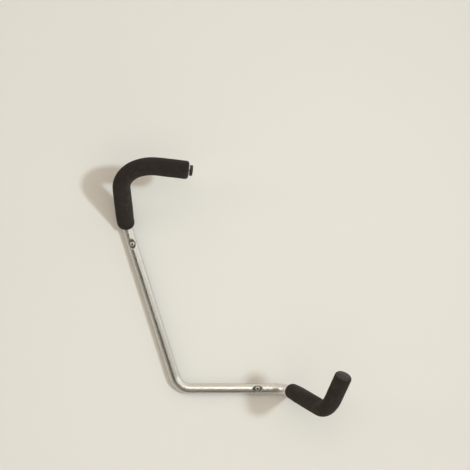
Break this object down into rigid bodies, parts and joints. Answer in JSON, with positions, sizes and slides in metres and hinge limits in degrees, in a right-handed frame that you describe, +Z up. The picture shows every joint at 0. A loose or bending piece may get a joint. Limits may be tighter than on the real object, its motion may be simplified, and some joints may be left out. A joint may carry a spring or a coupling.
{
  "type": "bicycle wall rack",
  "caption": "Wall rack for one bicycle: a steel tube bent into two arms, each with a foam sleeve and an end plug, held to a wall by two screws in wall plugs.",
  "frame": {"origin": "on the wall's face, midway between the two wall screws", "axes": "+Z up, +Y into the wall along the screws, +X to the right of somebody facing the wall; the rack stands at negative Y"},
  "size_m": [0.4769, 0.3119, 0.5191],
  "materials": {
    "tube_steel": "bright zinc-plated steel",
    "foam": "matte closed-cell foam",
    "plug_plastic": "satin moulded polyethylene",
    "screw_steel": "zinc-plated steel",
    "wall_plug_nylon": "moulded nylon"
  },
  "bodies": {
    "root": {"tube": "tube_steel", "upper_foam_sleeve": "foam", "lower_foam_sleeve": "foam", "upper_end_plug": "plug_plastic", "lower_end_plug": "plug_plastic", "upper_wall_screw": "screw_steel", "lower_wall_screw": "screw_steel", "upper_wall_plug": "wall_plug_nylon", "lower_wall_plug": "wall_plug_nylon"}
  },
  "joints": []
}
